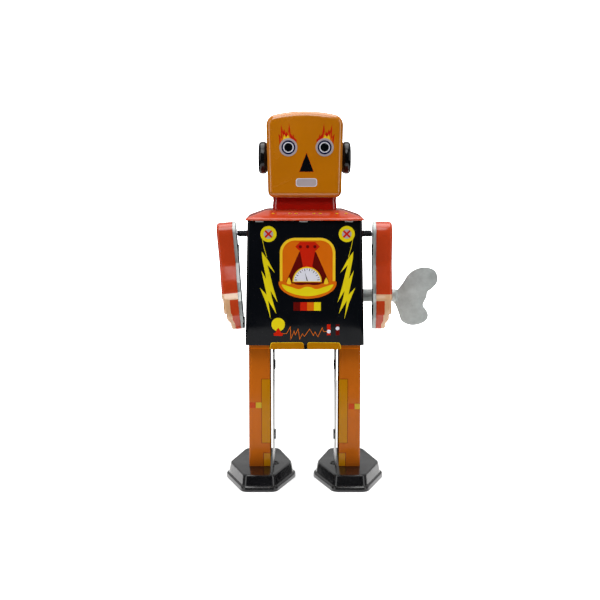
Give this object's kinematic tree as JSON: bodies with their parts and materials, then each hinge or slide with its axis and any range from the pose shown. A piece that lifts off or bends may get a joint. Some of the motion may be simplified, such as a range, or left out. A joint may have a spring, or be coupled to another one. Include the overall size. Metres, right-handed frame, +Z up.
{
  "type": "wind-up tin toy robot",
  "caption": "Clockwork walking robot of folded tinplate with swinging arms and legs, hexagonal feet and a side winding key.",
  "frame": {"origin": "on the floor, under the middle of the robot's box, key included", "axes": "+Z up, -Y the way the robot faces and walks, +X towards the side the key is on"},
  "size_m": [0.0734, 0.039, 0.12],
  "materials": {
    "head_lacquer": "gloss lacquer over printed tinplate",
    "black_lacquer": "gloss black lacquer",
    "neck_lacquer": "gloss red lacquer",
    "shoulder_lacquer": "gloss orange-red lacquer",
    "body_print": "lithographed black tinplate",
    "leg_lacquer": "satin brown-orange lacquer",
    "bare_tin": "bare tinplate",
    "key_tin": "dull nickel plate",
    "steel": "drawn steel",
    "spring_steel": "blued spring steel",
    "brass": "stamped brass"
  },
  "bodies": {
    "body": {"head_front": "head_lacquer", "head_back": "head_lacquer", "head_floor": "bare_tin", "ear_cap_left": "black_lacquer", "ear_cap_right": "black_lacquer", "neck_collar": "neck_lacquer", "shoulder_plate": "shoulder_lacquer", "body_front": "body_print", "body_back": "body_print", "hip_plate": "bare_tin", "motor_plate_left": "steel", "motor_plate_right": "steel", "motor_pillars": "brass", "mainspring": "spring_steel", "hip_shaft": "steel", "hip_spacers": "brass", "hip_clips": "steel", "shoulder_shaft": "steel", "shoulder_heads": "steel", "shoulder_spring_left": "spring_steel", "shoulder_spring_right": "spring_steel", "verge_pin": "steel"},
    "left_arm": {"arm_shell_left": "shoulder_lacquer", "arm_plate_left": "bare_tin"},
    "right_arm": {"arm_shell_right": "shoulder_lacquer", "arm_plate_right": "bare_tin"},
    "left_leg": {"leg_shell_left": "leg_lacquer", "leg_plate_left": "bare_tin", "foot_shell_left": "black_lacquer", "foot_sole_left": "bare_tin", "claw_pin_left": "steel"},
    "right_leg": {"leg_shell_right": "leg_lacquer", "leg_plate_right": "bare_tin", "foot_shell_right": "black_lacquer", "foot_sole_right": "bare_tin", "claw_pin_right": "steel"},
    "left_claw": {"foot_claw_left": "steel"},
    "right_claw": {"foot_claw_right": "steel"},
    "key": {"winding_key": "key_tin", "winding_arbor": "steel", "ratchet_wheel": "brass"},
    "great_wheel": {"great_wheel": "brass", "click_pin": "steel", "click_spring": "spring_steel"},
    "click": {"click": "steel"},
    "crankshaft": {"crank_shaft": "steel", "crank_pinion": "brass", "crank_wheel": "brass", "crank_disc_left": "steel", "crank_disc_right": "steel"},
    "governor": {"governor_shaft": "steel", "governor_pinion": "brass", "star_wheel": "brass"},
    "verge": {"verge": "brass"}
  },
  "joints": [
    {"name": "key_turn", "type": "hinge", "parent": "body", "child": "key", "pos_m": [0.01105, 0.00805, 0.0597], "axis": [1, 0, 0], "continuous": true},
    {"name": "great_wheel_turn", "type": "hinge", "parent": "body", "child": "great_wheel", "pos_m": [-0.00295, 0.00805, 0.0597], "axis": [1, 0, 0], "continuous": true},
    {"name": "crankshaft_turn", "type": "hinge", "parent": "body", "child": "crankshaft", "pos_m": [-0.00795, 0.00055, 0.0651], "axis": [1, 0, 0], "continuous": true},
    {"name": "governor_turn", "type": "hinge", "parent": "body", "child": "governor", "pos_m": [-0.00795, -0.00347, 0.07206], "axis": [1, 0, 0], "continuous": true},
    {"name": "click_lift", "type": "hinge", "parent": "great_wheel", "child": "click", "pos_m": [-0.00165, 0.01211, 0.06311], "axis": [-1, 0, 0], "range_deg": [0, 9], "stiffness_Nm_per_rad": 0.0002, "springref_deg": -8.59},
    {"name": "verge_rock", "type": "hinge", "parent": "body", "child": "verge", "pos_m": [-0.01125, 0.00315, 0.07558], "axis": [1, 0, 0], "range_deg": [-2, 2]},
    {"name": "left_leg_swing", "type": "hinge", "parent": "body", "child": "left_leg", "pos_m": [-0.0224, 0.00055, 0.05], "axis": [-1, 0, 0], "range_deg": [-6.5, 6.5]},
    {"name": "right_leg_swing", "type": "hinge", "parent": "body", "child": "right_leg", "pos_m": [0.0065, 0.00055, 0.05], "axis": [-1, 0, 0], "range_deg": [-6.5, 6.5]},
    {"name": "left_arm_swing", "type": "hinge", "parent": "body", "child": "left_arm", "pos_m": [-0.03075, 0.00255, 0.0808], "axis": [-1, 0, 0], "continuous": true},
    {"name": "right_arm_swing", "type": "hinge", "parent": "body", "child": "right_arm", "pos_m": [0.01485, 0.00255, 0.0808], "axis": [-1, 0, 0], "range_deg": [-1, 270]},
    {"name": "left_claw_drop", "type": "hinge", "parent": "left_leg", "child": "left_claw", "pos_m": [-0.0224, 0.01205, 0.0022], "axis": [1, 0, 0], "range_deg": [-6, 10]},
    {"name": "right_claw_drop", "type": "hinge", "parent": "right_leg", "child": "right_claw", "pos_m": [0.0065, 0.01205, 0.0022], "axis": [1, 0, 0], "range_deg": [-6, 10]}
  ],
  "couplings": [
    {"joint": "crankshaft_turn", "follows": "great_wheel_turn", "ratio": -2.8333},
    {"joint": "governor_turn", "follows": "great_wheel_turn", "ratio": 8.5},
    {"joint": "right_leg_swing", "follows": "left_leg_swing", "ratio": -1}
  ]
}
